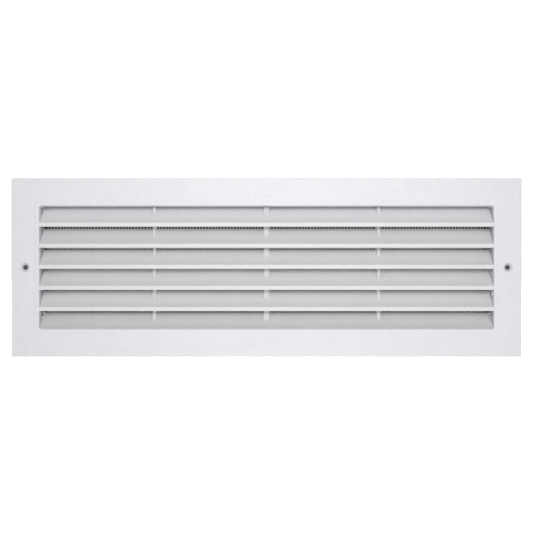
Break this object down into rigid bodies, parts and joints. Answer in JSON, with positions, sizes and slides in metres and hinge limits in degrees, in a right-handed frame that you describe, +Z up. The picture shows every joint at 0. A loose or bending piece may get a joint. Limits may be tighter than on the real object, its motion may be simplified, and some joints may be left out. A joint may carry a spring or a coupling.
{
  "type": "louvred air grille",
  "caption": "Rectangular louvred air grille with a flat screw-on flange, fixed sloping blades and an insect screen, for a ventilation opening in a wall.",
  "frame": {"origin": "middle of the grille on the wall plane, where the back of the flange meets the wall", "axes": "+Z up, +X to the right seen from the room, +Y into the wall; the louvred face looks along -Y"},
  "size_m": [0.5, 0.024, 0.175],
  "materials": {
    "white_plastic": "satin moulded, cool white",
    "comb_plastic": "satin moulded, white",
    "retainer_plastic": "satin moulded, white",
    "screen_nylon": "plain-woven monofilament"
  },
  "bodies": {
    "root": {"face_frame": "white_plastic", "louvre_blade_1": "white_plastic", "louvre_blade_2": "white_plastic", "louvre_blade_3": "white_plastic", "louvre_blade_4": "white_plastic", "louvre_blade_5": "white_plastic", "louvre_blade_6": "white_plastic", "support_comb_left": "comb_plastic", "support_comb_centre": "comb_plastic", "support_comb_right": "comb_plastic", "insect_screen": "screen_nylon", "screen_retainer": "retainer_plastic"}
  },
  "joints": []
}
